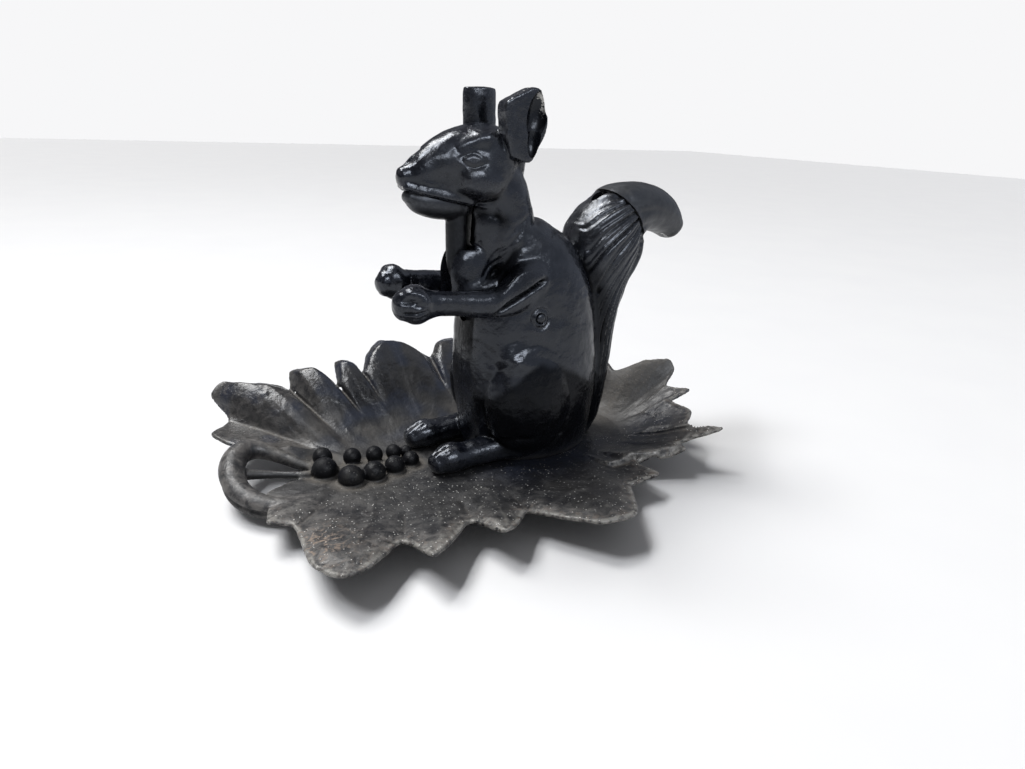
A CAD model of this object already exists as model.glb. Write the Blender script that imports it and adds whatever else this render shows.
"""A cast-iron squirrel nutcracker on a leaf-shaped dish, in black enamel and worn paint.

The squirrel faces -X, its left side is -Y and Z is up; the dish stands on Z = 0. The body is two
hollow halves that meet at Y = 0. A lever inside it carries the lower jaw and the tip of the tail,
and turns on a cross pin along Y. Lengths are in mm until they are written to a mesh, in metres.
"""

import math

import bmesh
import bpy
import numpy as np
from mathutils import Matrix, Vector


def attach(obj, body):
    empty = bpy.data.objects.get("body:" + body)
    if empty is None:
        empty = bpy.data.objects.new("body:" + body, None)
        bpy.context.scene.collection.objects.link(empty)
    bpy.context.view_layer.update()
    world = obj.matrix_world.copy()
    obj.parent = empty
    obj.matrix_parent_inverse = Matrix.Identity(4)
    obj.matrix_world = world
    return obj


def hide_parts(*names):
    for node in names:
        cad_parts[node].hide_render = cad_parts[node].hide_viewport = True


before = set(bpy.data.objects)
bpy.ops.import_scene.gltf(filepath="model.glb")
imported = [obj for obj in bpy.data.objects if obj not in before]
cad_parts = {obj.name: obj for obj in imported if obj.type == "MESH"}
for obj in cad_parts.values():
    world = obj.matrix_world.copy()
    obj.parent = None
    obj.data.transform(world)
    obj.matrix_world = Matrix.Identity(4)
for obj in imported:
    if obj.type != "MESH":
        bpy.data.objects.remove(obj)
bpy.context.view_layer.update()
MM = 0.001

# ---------------------------------------------------------------- driving dimensions, mm
IRON_CELL = 0.62     # voxel of the squirrel and the lever
LEAF_CELL = 0.68
SKIN_SMOOTH = 5         # smoothing passes over a remeshed skin

PIVOT = (7.3, 91.0)                     # X, Z of the cross pin
PIN_AXIS = (PIVOT[0], 0, PIVOT[1])
PIN_R = 2.45
PIN_HOLE_R = 2.8
PIN_HALF = 28.4                         # half length, without the domed ends
OPEN_DEG = 20.0
SEAM_R = 81.0                           # the cut through the tail, about the pin
SEAM_ANGLES = (66, -28)
TIP_GAP = 0.8
LEVER_HALF = 5.6
CLEAR = 0.9
WALL = 4.4
SPLIT = 0.15                            # from the middle plane to each half
DISH_T = 3.4
FLOOR_Z = 10.0
SEAT_Z = 10.4
BOSS_R = 6.2
SCREW_R = 1.9
SCREW_HOLE_R = 2.25
HEAD_R = 3.7
HEAD_H = 2.4
WASHER_R = 5.6
WASHER_T = 1.0
MOUTH_FRONT = (-56.0, 152.2)            # X, Z of the two ends of the bite line
MOUTH_BACK = (-17.0, 143.2)
BITE_GAP = 0.3
RIDGE_HALF, RIDGE_RISE = 3.2, 1.4       # the ridge along the lower jaw
BODY_SCREWS = {"neck_screw": (-1, 137, 17.5), "seat_screw": (-6, 62, 28),
               "tail_screw": (58, 60, 17)}                                      # X, Z, Y
TRAY_SCREWS = {"tray_screw_left": (22, -14), "tray_screw_right": (22, 14)}      # X, Y

# ---------------------------------------------------------------- stations of the squirrel
# X, Z, half height and half width across Y; or X, Y, Z and the two half sizes
TORSO = [
    (19, 7, 36, 26), (19, 16, 38.5, 30), (18, 30, 39.5, 32), (17, 46, 40, 32), (16, 62, 39.5, 31),
    (15, 80, 38.5, 29.5), (14, 96, 36.5, 28), (11.5, 110, 32, 26), (6, 121, 24.5, 22),
    (0, 131, 17, 18.5), (-2, 141, 15, 17), (-5, 151, 14.5, 17), (-9, 162, 13, 15)]
TORSO_POWER = [2.0, 2.0, 2.15, 2.5, 2.7, 2.7, 2.6, 2.3, 2.1, 2.1, 2.1, 2.1, 2.0]
HEAD = [
    (-54.5, 157.3, 4.6, 5.0), (-50, 158, 7.4, 7.4), (-43, 160, 11, 10), (-35, 162, 14.5, 13),
    (-26, 163.5, 17, 16), (-15, 164.5, 18.5, 18), (-6, 164.5, 16.5, 16.5), (-0.5, 163.5, 12.5, 12)]
TAIL = [
    (50, 13, 11, 13), (55, 26, 12, 15.5), (57, 45, 12.5, 17), (58, 63, 13, 17.5),
    (58.5, 81, 14, 18), (59.5, 98, 18, 19), (61, 112, 22.5, 20.5), (65.5, 125, 23.5, 21),
    (73.5, 136, 19, 19), (85, 141, 14.2, 16.5), (96, 140, 12.4, 14.5), (105, 135.8, 10.8, 12.5),
    (112, 130, 8, 10)]
UPPER_LIP = [
    (-53.2, 155.2, 4.2, 5.8), (-47.5, 154.4, 6.4, 8.8), (-40, 153.5, 7.4, 10.4),
    (-32, 152.5, 8, 11.6), (-24, 152, 8.6, 13)]
COLLAR = [(-15, 96, 14, 12), (-17.5, 107, 16, 12.5), (-18.5, 116, 15, 12), (-15, 121, 9, 11)]
THROAT = [(-5, 119, 13, 13), (-7.6, 129, 13.6, 13.4), (-8, 139, 13.8, 14), (-9, 147, 13.6, 13.5)]
ARM_LEFT = [
    (7, -17, 110.5, 11.5, 10), (-1, -21.5, 107, 10.5, 9), (-11, -24.5, 102.5, 8.6, 7.6),
    (-20, -25, 100.8, 7, 6.6), (-33, -24.5, 101.8, 6.2, 6), (-46, -24, 103, 5.8, 5.8),
    (-53, -23.5, 103.2, 7.6, 7), (-60, -23, 103.6, 9.4, 8), (-65.5, -22.5, 103.4, 6.8, 6)]
LEG_LEFT = [
    (22, -20, 22, 13, 12), (4, -19, 19, 9, 9.5), (-12, -17.5, 18, 7.2, 8),
    (-27, -17, 17.3, 6.8, 7.6), (-38, -17, 17, 7.8, 8.8), (-45.5, -16.8, 15.2, 5.2, 6.4)]
# ellipsoids: centre, radii, turn about Y in degrees; haunch, shoulder and cheek
MASSES = [((8, -21, 44), (27, 14.6, 34), -8.0), ((7, -14, 107.5), (17, 13.5, 14), 25.0),
          ((-20, -12, 157), (13, 7.5, 9), 10.0)]
BIB = ((-14, 0, 103), (20.5, 15.5, 15.3), 0.0)
LEFT_EAR = [
    (-8.5, 168), (-11.5, 179), (-12.6, 190.5), (-9.6, 193.6), (-4.5, 196), (1.5, 198.6),
    (4.8, 198.4), (8.6, 194.4), (9.9, 187), (9.7, 180), (6.4, 173.5), (1.6, 166)]   # X, Z outline
RIGHT_EAR = [(-7.5, 14.5, 170, 8, 6.4), (-7.8, 15, 183, 8.6, 6.4), (-8, 15, 194, 8.7, 6.2),
             (-8, 15, 198.4, 8.4, 5.8)]
# centre, radii, turn of the hollows in the ears
EAR_HOLLOWS = [((4.3, -20.8, 187.2), (5.7, 6.0, 10.8), 12.0),
               ((3.0, -20.8, 177.0), (3.6, 5.0, 9.0), 6.0),
               ((-6.5, 21.5, 188), (6.6, 4.6, 9.0), -2.0)]

# stations of the lever: lower jaw, post up to it, arm back to the tail's tip
JAW = [(-52.5, 149.3, 3.2, 5), (-47.5, 147.6, 6.2, 8), (-40, 146.4, 7.6, 9.2),
       (-31.5, 145.2, 7.4, 8.6), (-25.5, 144, 6.2, 6.5)]
POST = [(-27.2, 146, 5.2, 5.3), (-27.4, 132, 5.2, 5.3), (-26.6, 115, 5.0, 5.0),
        (-22.3, 103.8, 3.4, 4.2), (-13.8, 96.0, 3.9, 4.2), (4, 91, 6.6, 5.6)]
REAR_ARM = [(7, 91, 7, 5.6), (24, 88, 5.8, 5.6), (42, 86, 5.4, 5.6), (55.5, 88.5, 5.2, 5.2),
            (62, 98, 4.6, 4.6), (66.5, 110, 3.6, 3.4), (75.5, 123.5, 2.8, 2.5), (85, 131.5, 3.4, 3.0)]

# in front of this X the right arm is shorter than the left by the factor RIGHT_REACH
ARM_BEND = ARM_LEFT[0][0] - 20
RIGHT_REACH = 0.84


def reached(point, reach):
    """A point of the arm with its X scaled about the bend."""
    return (ARM_BEND + (point[0] - ARM_BEND) * reach, *point[1:])


ARM_RIGHT = [reached((x, -y, *rest), RIGHT_REACH if x < ARM_BEND else 1.0)
             for x, y, *rest in ARM_LEFT]

# ---------------------------------------------------------------- small maths on arrays of points


def unit(vectors):
    return vectors / np.maximum(np.linalg.norm(vectors, axis=-1, keepdims=True), 1e-9)


def step01(start, end, value):
    """Smooth step from 0 at start to 1 at end; end may lie below start."""
    t = np.clip((value - start) / (end - start), 0, 1)
    return t * t * (3 - 2 * t)


def bell(distance, width):
    return np.exp(-(distance / width) ** 2)


def lattice(i, j, k, seed):
    """A 32-bit hash of each lattice point."""
    bits = (i * 374761393 + j * 668265263 + k * 2147483647 + seed * 974634777) & 0xFFFFFFFF
    bits = ((bits ^ (bits >> 13)) * 1274126177) & 0xFFFFFFFF
    return bits ^ (bits >> 16)


def clouds(points, size, seed):
    """Smooth gradient noise, about -1 to 1, with features this many mm across."""
    place = np.asarray(points, float) / size + 37.7 + seed * 3.1
    cell = np.floor(place).astype(np.int64)
    inside = place - cell
    fade = inside * inside * inside * (inside * (inside * 6 - 15) + 10)
    total = np.zeros(len(place))
    for corner in np.ndindex(2, 2, 2):
        away = inside - corner
        bits = lattice(*(cell + corner).T, seed)
        turn = (bits & 1023) / 1023.0 * 2 * np.pi
        up = ((bits >> 10) & 1023) / 511.5 - 1
        level = np.sqrt(np.maximum(1 - up * up, 0))
        slope = (level * np.cos(turn) * away[:, 0] + level * np.sin(turn) * away[:, 1]
                 + up * away[:, 2])
        total += np.where(corner, fade, 1 - fade).prod(axis=1) * slope
    return total * 1.6


def to_line(points, line):
    """Distance of each point to a polyline, and how far along it the nearest spot is, 0 to 1."""
    line = np.asarray(line, float)
    best = np.full(len(points), 1e9)
    along = np.zeros(len(points))
    lengths = np.linalg.norm(np.diff(line, axis=0), axis=1)
    starts = np.concatenate([[0], np.cumsum(lengths)])
    for k in range(len(line) - 1):
        step = line[k + 1] - line[k]
        t = np.clip(((points - line[k]) @ step) / max(step @ step, 1e-9), 0, 1)
        distance = np.linalg.norm(points - (line[k] + t[:, None] * step), axis=1)
        near = distance < best
        best[near] = distance[near]
        along[near] = ((starts[k] + t * lengths[k]) / starts[-1])[near]
    return best, along


def near_line(points, line, width):
    return bell(to_line(points, line)[0], width)


def rounded(stations, steps):
    """A Catmull-Rom curve through the stations, with this many points from one to the next."""
    s = np.array(stations, float)
    padded = np.vstack([2 * s[0] - s[1], s, 2 * s[-1] - s[-2]])
    rows = []
    for i in range(1, len(padded) - 2):
        a, b, c, d = padded[i - 1:i + 3]
        for k in range(steps):
            t = k / steps
            rows.append(0.5 * (2 * b + (c - a) * t + (2 * a - 5 * b + 4 * c - d) * t * t
                               + (3 * b - a - 3 * c + d) * t ** 3))
    rows.append(padded[-2])
    return np.array(rows)


# ---------------------------------------------------------------- forms: (vertices, faces) in mm


def bands(rows, sides, closed=False):
    """Quads between neighbouring rings of vertices; closed also joins the last to the first."""
    return [(i * sides + k, i * sides + (k + 1) % sides,
             (i + 1) % rows * sides + (k + 1) % sides, (i + 1) % rows * sides + k)
            for i in range(rows if closed else rows - 1) for k in range(sides)]


def end_faces(rows, sides):
    return [tuple(range(sides))[::-1], tuple((rows - 1) * sides + k for k in range(sides))]


def loft(stations, sides=40, steps=5, grow=0.0, power=2.0, low_power=None, domed=0.75):
    """Closed form through elliptical sections (power 2) or squarer ones (above 2).

    Its ends are rounded. A list of powers, one per station, blends between them. low_power is for
    the lower half of a form that runs towards +X.
    """
    rows = rounded([(q[0], 0, *q[1:]) if len(q) == 4 else q for q in stations], steps)
    rows[:, 3:] = np.maximum(rows[:, 3:] + grow, 0.6)
    ways = unit(np.gradient(rows[:, :3], axis=0))
    powers = np.interp(np.arange(len(rows)), np.arange(len(stations)) * steps,
                       np.broadcast_to(power, len(stations)))
    sections = list(zip(rows, ways, powers))
    for end, way in ((0, -1), (len(rows) - 1, 1)):
        cap = []
        for k in range(1, 7):
            angle = k / 7 * math.pi / 2
            row = rows[end].copy()
            row[:3] += ways[end] * way * math.sin(angle) * min(row[3], row[4]) * domed
            row[3:] *= math.cos(angle)
            cap.append((row, ways[end], powers[end]))
        sections = cap[::-1] + sections if way < 0 else sections + cap
    angles = np.arange(sides) / sides * 2 * np.pi
    cos, sin = np.cos(angles), np.sin(angles)
    verts = []
    for row, way, squareness in sections:
        exponent = 2 / np.where(cos > 0, low_power or squareness, squareness)
        first = np.sign(cos) * np.abs(cos) ** exponent
        second = np.sign(sin) * np.abs(sin) ** exponent
        normal = unit(np.cross([0, 1, 0], way))
        across = unit(np.cross(way, normal))
        verts.append(row[:3] + np.outer(first * row[3], normal) + np.outer(second * row[4], across))
    count = len(sections)
    return np.vstack(verts), bands(count, sides) + end_faces(count, sides)


def ball(centre, radii, turn=0.0, lean=0.0):
    """An ellipsoid, turned about Y and then leaned about X, in degrees."""
    sides, rings = 36, 24
    verts = []
    for i in range(1, rings):
        t = math.pi * i / rings
        for k in range(sides):
            a = 2 * math.pi * k / sides
            verts.append((math.sin(t) * math.cos(a), math.sin(t) * math.sin(a), math.cos(t)))
    top, low = len(verts), len(verts) + 1
    verts += [(0, 0, 1), (0, 0, -1)]
    faces = [(a, d, c, b) for a, b, c, d in bands(rings - 1, sides)]
    last = (rings - 2) * sides
    for k in range(sides):
        faces.append((top, k, (k + 1) % sides))
        faces.append((low, last + (k + 1) % sides, last + k))
    a, b = math.radians(turn), math.radians(lean)
    about_y = np.array([[math.cos(a), 0, math.sin(a)], [0, 1, 0], [-math.sin(a), 0, math.cos(a)]])
    about_x = np.array([[1, 0, 0], [0, math.cos(b), -math.sin(b)], [0, math.sin(b), math.cos(b)]])
    return (np.array(verts) * np.array(radii)) @ about_y.T @ about_x.T + np.array(centre), faces


def drum(centre, radius, length, axis="Y", sides=96, top_radius=None):
    top_radius = radius if top_radius is None else top_radius
    angles = np.arange(sides) / sides * 2 * np.pi
    verts = np.vstack([np.c_[np.cos(angles) * r, np.sin(angles) * r, np.full(sides, height)]
                       for r, height in ((radius, -length / 2), (top_radius, length / 2))])
    if axis == "Y":
        verts = np.c_[verts[:, 0], verts[:, 2], -verts[:, 1]]
    return verts + np.array(centre, float), bands(2, sides) + end_faces(2, sides)


def slab(outline, low_y, high_y):
    """A flat outline in X, Z as a slab between two Y values."""
    o = np.array(outline, float)
    n = len(o)
    verts = np.vstack([np.c_[o[:, 0], np.full(n, y), o[:, 1]] for y in (low_y, high_y)])
    faces = [tuple(range(n)), tuple(range(n, 2 * n))[::-1]]
    return verts, faces + [(k, n + k, n + (k + 1) % n, (k + 1) % n) for k in range(n)]


def block(low, high):
    outline = [(low[0], low[2]), (high[0], low[2]), (high[0], high[2]), (low[0], high[2])]
    return slab(outline, low[1], high[1])


def both_sides(form):
    """The form and its mirror image across Y = 0."""
    verts, faces = form
    return [form, (verts * np.array([1, -1, 1]), [tuple(reversed(face)) for face in faces])]


# ---------------------------------------------------------------- mesh objects


def mesh_object(name, verts_mm, faces):
    """An object of this mesh, with its faces turned outwards."""
    mesh = bpy.data.meshes.new(name)
    mesh.from_pydata((np.asarray(verts_mm, float) * MM).tolist(), [], faces)
    mesh.update()
    obj = bpy.data.objects.new(name, mesh)
    bpy.context.scene.collection.objects.link(obj)
    bm = bmesh.new()
    bm.from_mesh(mesh)
    bmesh.ops.recalc_face_normals(bm, faces=bm.faces)
    bm.to_mesh(mesh)
    bm.free()
    return obj


def pooled(name, forms):
    verts, faces, at = [], [], 0
    for form_verts, form_faces in forms:
        verts.append(form_verts)
        faces += [tuple(i + at for i in face) for face in form_faces]
        at += len(form_verts)
    return mesh_object(name, np.vstack(verts), faces)


def applied(obj):
    """obj with its modifiers applied to its mesh."""
    bpy.context.view_layer.update()
    evaluated = obj.evaluated_get(bpy.context.evaluated_depsgraph_get())
    mesh = bpy.data.meshes.new_from_object(evaluated)
    old = obj.data
    obj.modifiers.clear()
    obj.data = mesh
    bpy.data.meshes.remove(old)
    return obj


def add_smooth(obj, times, group=""):
    smooth = obj.modifiers.new("soften", "SMOOTH")
    smooth.factor = 0.5
    smooth.iterations = times
    smooth.vertex_group = group


def soften_where(obj, weight, times, levels=1):
    """Smooths by a weight of 0 to 1 per vertex, rounded to this many levels."""
    group = obj.vertex_groups.new(name="soft")
    for level in range(1, levels + 1):
        low, high = (level - 0.5) / levels, (level + 0.5) / levels
        chosen = np.nonzero((weight > low) & (weight <= high))[0]
        if len(chosen):
            group.add(chosen.tolist(), level / levels, "REPLACE")
    add_smooth(obj, times, "soft")
    applied(obj)
    obj.vertex_groups.clear()


def melted(name, forms, cell, smooth):
    """The forms fused into one skin by a voxel remesh."""
    obj = pooled(name, forms)
    remesh = obj.modifiers.new("melt", "REMESH")
    remesh.mode = "VOXEL"
    remesh.voxel_size = cell * MM
    add_smooth(obj, smooth)
    return applied(obj)


def boolean(obj, tool, operation):
    """Cuts, joins or intersects obj with a form or an object, which is used up."""
    other = pooled("tool", [tool]) if isinstance(tool, tuple) else tool
    before = len(obj.data.vertices)
    keep = obj.data.copy()
    # the second solver runs only if the first empties the mesh or leaves it as it was
    for solver in ("MANIFOLD", "EXACT"):
        modifier = obj.modifiers.new("bool", "BOOLEAN")
        modifier.operation = operation
        modifier.solver = solver
        modifier.object = other
        applied(obj)
        if len(obj.data.vertices) not in (0, before):
            break
        obj.data = keep.copy()
    bpy.data.objects.remove(other, do_unlink=True)


def cut(obj, tool):
    boolean(obj, tool, "DIFFERENCE")


def join(obj, tool):
    boolean(obj, tool, "UNION")


def points_of(obj):
    flat = np.empty(len(obj.data.vertices) * 3, np.float32)
    obj.data.vertices.foreach_get("co", flat)
    return flat.reshape(-1, 3).astype(float) / MM


def normals_of(obj):
    flat = np.empty(len(obj.data.vertices) * 3, np.float32)
    obj.data.vertex_normals.foreach_get("vector", flat)
    return flat.reshape(-1, 3).astype(float)


def edges_of(obj):
    flat = np.empty(len(obj.data.edges) * 2, np.int32)
    obj.data.edges.foreach_get("vertices", flat)
    return flat.reshape(-1, 2).T


def set_points(obj, points):
    obj.data.vertices.foreach_set("co", (points * MM).astype(np.float32).ravel())
    obj.data.update()


def keep_biggest(obj):
    """Drops all but the biggest connected part."""
    a, b = edges_of(obj)
    label = np.arange(len(obj.data.vertices))
    while True:
        low = np.minimum(label[a], label[b])
        new = label.copy()
        np.minimum.at(new, a, low)
        np.minimum.at(new, b, low)
        new = new[new]
        if (new == label).all():
            break
        label = new
    ids, count = np.unique(label, return_counts=True)
    if len(ids) > 1:
        drop = np.nonzero(label != ids[count.argmax()])[0]
        bm = bmesh.new()
        bm.from_mesh(obj.data)
        bm.verts.ensure_lookup_table()
        bmesh.ops.delete(bm, geom=[bm.verts[int(k)] for k in drop], context="VERTS")
        bm.to_mesh(obj.data)
        bm.free()


def hollowness(obj, rounds):
    """How far each point lies under (above 0) or over (below 0) its surroundings, mm."""
    points = points_of(obj)
    a, b = edges_of(obj)
    n = len(points)
    count = np.bincount(a, minlength=n) + np.bincount(b, minlength=n)
    mean = points.copy()
    for _ in range(rounds):
        total = np.stack([np.bincount(a, mean[b, k], n) + np.bincount(b, mean[a, k], n)
                          for k in range(3)], axis=1)
        mean = total / np.maximum(count, 1)[:, None]
    return ((mean - points) * normals_of(obj)).sum(1)


def attribute(obj, name, values):
    layer = obj.data.attributes.new(name, "FLOAT", "POINT")
    layer.data.foreach_set("value", np.clip(values, -1, 1).astype(np.float32))


def smooth_shaded(obj, angle):
    obj.data.shade_smooth()
    obj.data.set_sharp_from_angle(angle=math.radians(angle))


# ---------------------------------------------------------------- materials


def link(tree, value, socket):
    """Sets a socket to a number or a tuple, or links another node's output to it."""
    if isinstance(value, (int, float)):
        socket.default_value = value
    elif isinstance(value, tuple):
        socket.default_value = (*value, 1) if socket.type == "RGBA" else value
    else:
        tree.links.new(value, socket)


def add_node(tree, kind, inputs, **settings):
    node = tree.nodes.new("ShaderNode" + kind)
    for key, value in settings.items():
        setattr(node, key, value)
    for key, value in inputs.items():
        link(tree, value, node.inputs[key])
    return node


class Nodes:
    """A new material with a principled shader, and short calls that add nodes to it."""

    def __init__(self, name):
        self.material = bpy.data.materials.new(name)
        self.material.use_nodes = True
        self.tree = self.material.node_tree
        self.tree.nodes.clear()
        out = self.tree.nodes.new("ShaderNodeOutputMaterial")
        self.shader = self.tree.nodes.new("ShaderNodeBsdfPrincipled")
        self.tree.links.new(self.shader.outputs[0], out.inputs[0])
        self.coord = self.tree.nodes.new("ShaderNodeTexCoord").outputs["Object"]

    def put(self, socket, value):
        link(self.tree, value, self.shader.inputs[socket])

    def noise(self, size, detail=3.0, rough=0.55, distort=0.0):
        """Noise with features this many mm across."""
        inputs = {"Scale": 1000.0 / size, "Detail": detail, "Roughness": rough,
                  "Distortion": distort, "Vector": self.coord}
        return add_node(self.tree, "TexNoise", inputs).outputs["Fac"]

    def cells(self, size, output):
        inputs = {"Scale": 1000.0 / size, "Vector": self.coord}
        return add_node(self.tree, "TexVoronoi", inputs).outputs[output]

    def flecks(self, size, edge, core, rarity):
        """Round specks, full inside core and gone at edge, in the cells over a rarity of 0 to 1."""
        spots = self.ramp(self.cells(size, "Distance"), low=edge, high=core)
        red = add_node(self.tree, "SeparateColor", {0: self.cells(size, "Color")}).outputs[0]
        return self.times(spots, self.math("GREATER_THAN", red, rarity))

    def ramp(self, value, low, high, start=0.0, end=1.0):
        """Smooth change from start at low to end at high."""
        inputs = {"Value": value, "From Min": low, "From Max": high, "To Min": start, "To Max": end}
        node = add_node(self.tree, "MapRange", inputs, clamp=True, interpolation_type="SMOOTHSTEP")
        return node.outputs[0]

    def math(self, operation, a, b):
        return add_node(self.tree, "Math", {0: a, 1: b}, operation=operation).outputs[0]

    def times(self, a, b):
        return self.math("MULTIPLY", a, b)

    def plus(self, a, b):
        return self.math("ADD", a, b)

    def larger(self, a, b):
        return self.math("MAXIMUM", a, b)

    def mix(self, share, under, over):
        """Colour under, covered by colour over where share is 1."""
        inputs = {"Factor": share, 6: under, 7: over}
        return add_node(self.tree, "Mix", inputs, data_type="RGBA").outputs[2]

    def blend(self, share, under, over):
        """The same for single numbers."""
        inputs = {"Factor": share, 2: under, 3: over}
        return add_node(self.tree, "Mix", inputs, data_type="FLOAT").outputs[0]

    def mask(self, name):
        return add_node(self.tree, "Attribute", {}, attribute_name=name).outputs["Fac"]

    def bump(self, height, mm, below=None):
        inputs = {"Strength": 1.0, "Distance": mm * MM, "Height": height}
        if below is not None:
            inputs["Normal"] = below
        return add_node(self.tree, "Bump", inputs).outputs[0]


def enamel(name, tint=(0.0032, 0.0038, 0.0060), gloss=0.15, satin=0.0):
    """Thick black enamel over sand-cast iron: soft pebbles, dust in the hollows, metal chips.

    gloss is the lowest roughness and satin is added to all of it.
    """
    worn_black = (0.0105, 0.0105, 0.011)
    dust_tone = (0.085, 0.078, 0.066)
    ridge_tone = (0.075, 0.077, 0.085)
    metal_dark, metal_light = (0.42, 0.41, 0.38), (0.72, 0.71, 0.68)
    deep_black = (0.0012, 0.0012, 0.0014)
    n = Nodes(name)
    broad = n.noise(size=26, detail=3, rough=0.5)
    mottled = n.noise(size=7, detail=4, rough=0.6, distort=0.4)
    pebble = n.noise(size=2.2, detail=3, rough=0.55)
    grain = n.noise(size=0.7, detail=2, rough=0.6)
    lighter = tuple(c * 1.8 + 0.001 for c in tint)
    colour = n.mix(n.ramp(mottled, low=0.42, high=0.62), tint, lighter)
    colour = n.mix(n.ramp(broad, low=0.52, high=0.70, end=0.45), colour, worn_black)
    dust = n.times(n.mask("dust"), n.ramp(mottled, low=0.3, high=0.62, start=0.35))
    colour = n.mix(dust, colour, dust_tone)
    wear_noise = n.noise(size=1.7, detail=4, rough=0.65)
    wear = n.times(n.mask("ridge"), n.ramp(wear_noise, low=0.46, high=0.62))
    wear_strength = 0.25
    colour = n.mix(n.times(wear, wear_strength), colour, ridge_tone)
    # noise about zero, this strong, breaks up the edges of the chips
    ragged = 1.5
    raggedness = n.math("SUBTRACT", n.noise(size=2.4, detail=5, rough=0.7), 0.5)
    chip = n.plus(n.mask("chip"), n.times(raggedness, ragged))
    chipped = n.ramp(chip, low=0.5, high=0.56)
    colour = n.mix(chipped, colour, n.mix(n.noise(size=1.2, detail=3), metal_dark, metal_light))
    n.put("Base Color", n.mix(n.mask("deep"), colour, deep_black))
    mottled_rise, broad_rise, dusty, bare = 0.12, 0.08, 0.75, 0.42     # roughness
    rough = n.blend(n.ramp(mottled, low=0.35, high=0.7), gloss, gloss + mottled_rise)
    rough = n.blend(n.ramp(broad, low=0.42, high=0.66), rough, n.plus(rough, broad_rise))
    rough = n.plus(rough, satin)
    rough = n.blend(dust, rough, dusty)
    n.put("Roughness", n.blend(chipped, rough, bare))
    chip_metallic = 0.7
    n.put("Metallic", n.times(chipped, chip_metallic))
    n.put("Specular IOR Level", n.blend(n.mask("deep"), under=0.5, over=0.06))
    n.put("Specular Tint", (0.86, 0.91, 1.0))
    lift = n.bump(n.noise(size=5.5, detail=2, rough=0.5), mm=0.24)
    lift = n.bump(pebble, mm=0.15, below=lift)
    lift = n.bump(grain, mm=0.06, below=lift)
    n.put("Normal", n.bump(chipped, mm=-0.12, below=lift))
    return n.material


def worn_leaf(name):
    """Old dark paint over cast iron: bloom, dust in the creases, pale specks, scuffed rims."""
    base_dark, base_light = (0.0115, 0.0115, 0.0130), (0.026, 0.0248, 0.0240)
    grey, black, blue = (0.042, 0.040, 0.038), (0.006, 0.006, 0.0075), (0.014, 0.018, 0.031)
    bloom_tone, dust_tone = (0.115, 0.108, 0.102), (0.105, 0.092, 0.076)
    rust_tone, rim_tone = (0.250, 0.190, 0.145), (0.230, 0.222, 0.205)
    crumb_tone = (0.72, 0.71, 0.68)
    n = Nodes(name)
    broad = n.noise(size=34, detail=4, rough=0.55, distort=0.6)
    mottled = n.noise(size=8, detail=5, rough=0.62, distort=0.5)
    fine = n.noise(size=1.8, detail=4, rough=0.6)

    def patches(mask, noise, low, high, start=0.0):
        return n.times(n.mask(mask), n.ramp(noise, low, high, start))

    colour = n.mix(n.ramp(broad, low=0.36, high=0.64), base_dark, base_light)
    colour = n.mix(n.ramp(mottled, low=0.46, high=0.68, end=0.6), colour, grey)
    colour = n.mix(n.mask("black"), colour, black)
    colour = n.mix(patches("blue", mottled, low=0.3, high=0.6, start=0.4), colour, blue)
    bloom_noise = n.noise(size=5, detail=5, rough=0.65, distort=0.6)
    colour = n.mix(patches("pale", bloom_noise, low=0.38, high=0.66), colour, bloom_tone)
    dust = patches("dust", fine, low=0.3, high=0.66, start=0.45)
    colour = n.mix(dust, colour, dust_tone)
    rust_noise = n.noise(size=3.2, detail=5, rough=0.68, distort=0.7)
    rust = patches("rust", rust_noise, low=0.50, high=0.60)
    colour = n.mix(rust, colour, rust_tone)
    rim = patches("rim", n.noise(size=3.0, detail=4, rough=0.6), low=0.36, high=0.62)
    colour = n.mix(rim, colour, rim_tone)
    speck = n.mask("speck")
    small = n.times(n.flecks(size=1.6, edge=0.24, core=0.12, rarity=0.58), speck)
    big = n.times(n.flecks(size=3.6, edge=0.115, core=0.06, rarity=0.5), speck)
    clusters = n.ramp(n.noise(size=12, detail=3, rough=0.6), low=0.36, high=0.62, start=0.3)
    crumbs = n.times(n.larger(small, big), clusters)
    n.put("Base Color", n.mix(crumbs, colour, crumb_tone))
    sheen_rough, dusty = 0.24, 0.85
    rough = n.blend(n.ramp(mottled, low=0.34, high=0.68), under=0.38, over=0.6)
    rough = n.blend(n.mask("sheen"), rough, sheen_rough)
    n.put("Roughness", n.blend(n.larger(dust, n.larger(rust, crumbs)), rough, dusty))
    n.put("Specular IOR Level", n.blend(n.mask("black"), under=0.5, over=0.14))
    rim_metallic = 0.25
    n.put("Metallic", n.times(rim, rim_metallic))
    lift = n.bump(n.noise(size=6, detail=3, rough=0.55, distort=0.4), mm=0.45)
    lift = n.bump(n.noise(size=2.0, detail=4, rough=0.6, distort=0.3), mm=0.22, below=lift)
    lift = n.bump(n.noise(size=0.8, detail=2, rough=0.6), mm=0.07, below=lift)
    n.put("Normal", n.bump(crumbs, mm=0.25, below=lift))
    return n.material


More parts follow.
